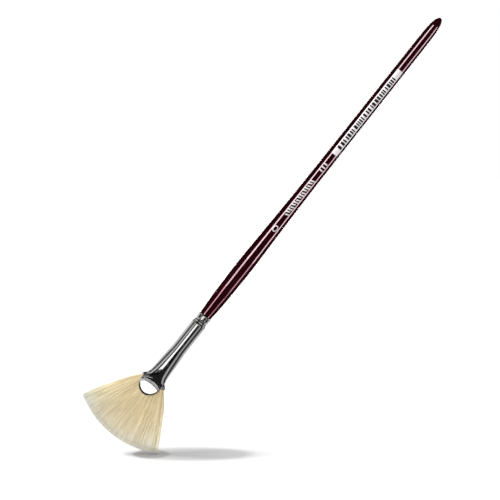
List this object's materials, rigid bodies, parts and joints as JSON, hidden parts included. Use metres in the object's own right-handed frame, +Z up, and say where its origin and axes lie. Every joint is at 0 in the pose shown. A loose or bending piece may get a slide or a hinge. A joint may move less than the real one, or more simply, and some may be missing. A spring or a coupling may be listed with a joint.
{
  "type": "fan brush",
  "caption": "Artist's fan brush: long tapered lacquered handle, plated ferrule flared into half-moon tongues, and a flat fan of stiff bristle.",
  "frame": {"origin": "on the handle's axis at the middle of the cylindrical belly, where the brush is gripped", "axes": "+Z up the handle from the hair to the tail, +X across the width of the fan, -Y out of the printed front"},
  "size_m": [0.052, 0.009, 0.29],
  "materials": {
    "lacquer": "gloss lacquer, very dark burgundy",
    "label": "satin label stock",
    "nickel": "polished nickel plate on a drawn tube",
    "glue": "cured glue",
    "resin": "cured resin",
    "thread": "waxed thread",
    "bristle": "natural bleached hog bristle"
  },
  "bodies": {
    "brush": {"handle": "lacquer", "label": "label", "ferrule": "nickel", "tenon_glue": "glue", "resin_plug": "resin", "binding_thread": "thread", "hair_root": "bristle"},
    "hair": {"hair_fan": "bristle"}
  },
  "joints": [
    {"name": "hair_flex", "type": "hinge", "parent": "brush", "child": "hair", "pos_m": [0, 0, -0.0888], "axis": [1, 0, 0], "range_deg": [-32, 32], "stiffness_Nm_per_rad": 0.02}
  ]
}
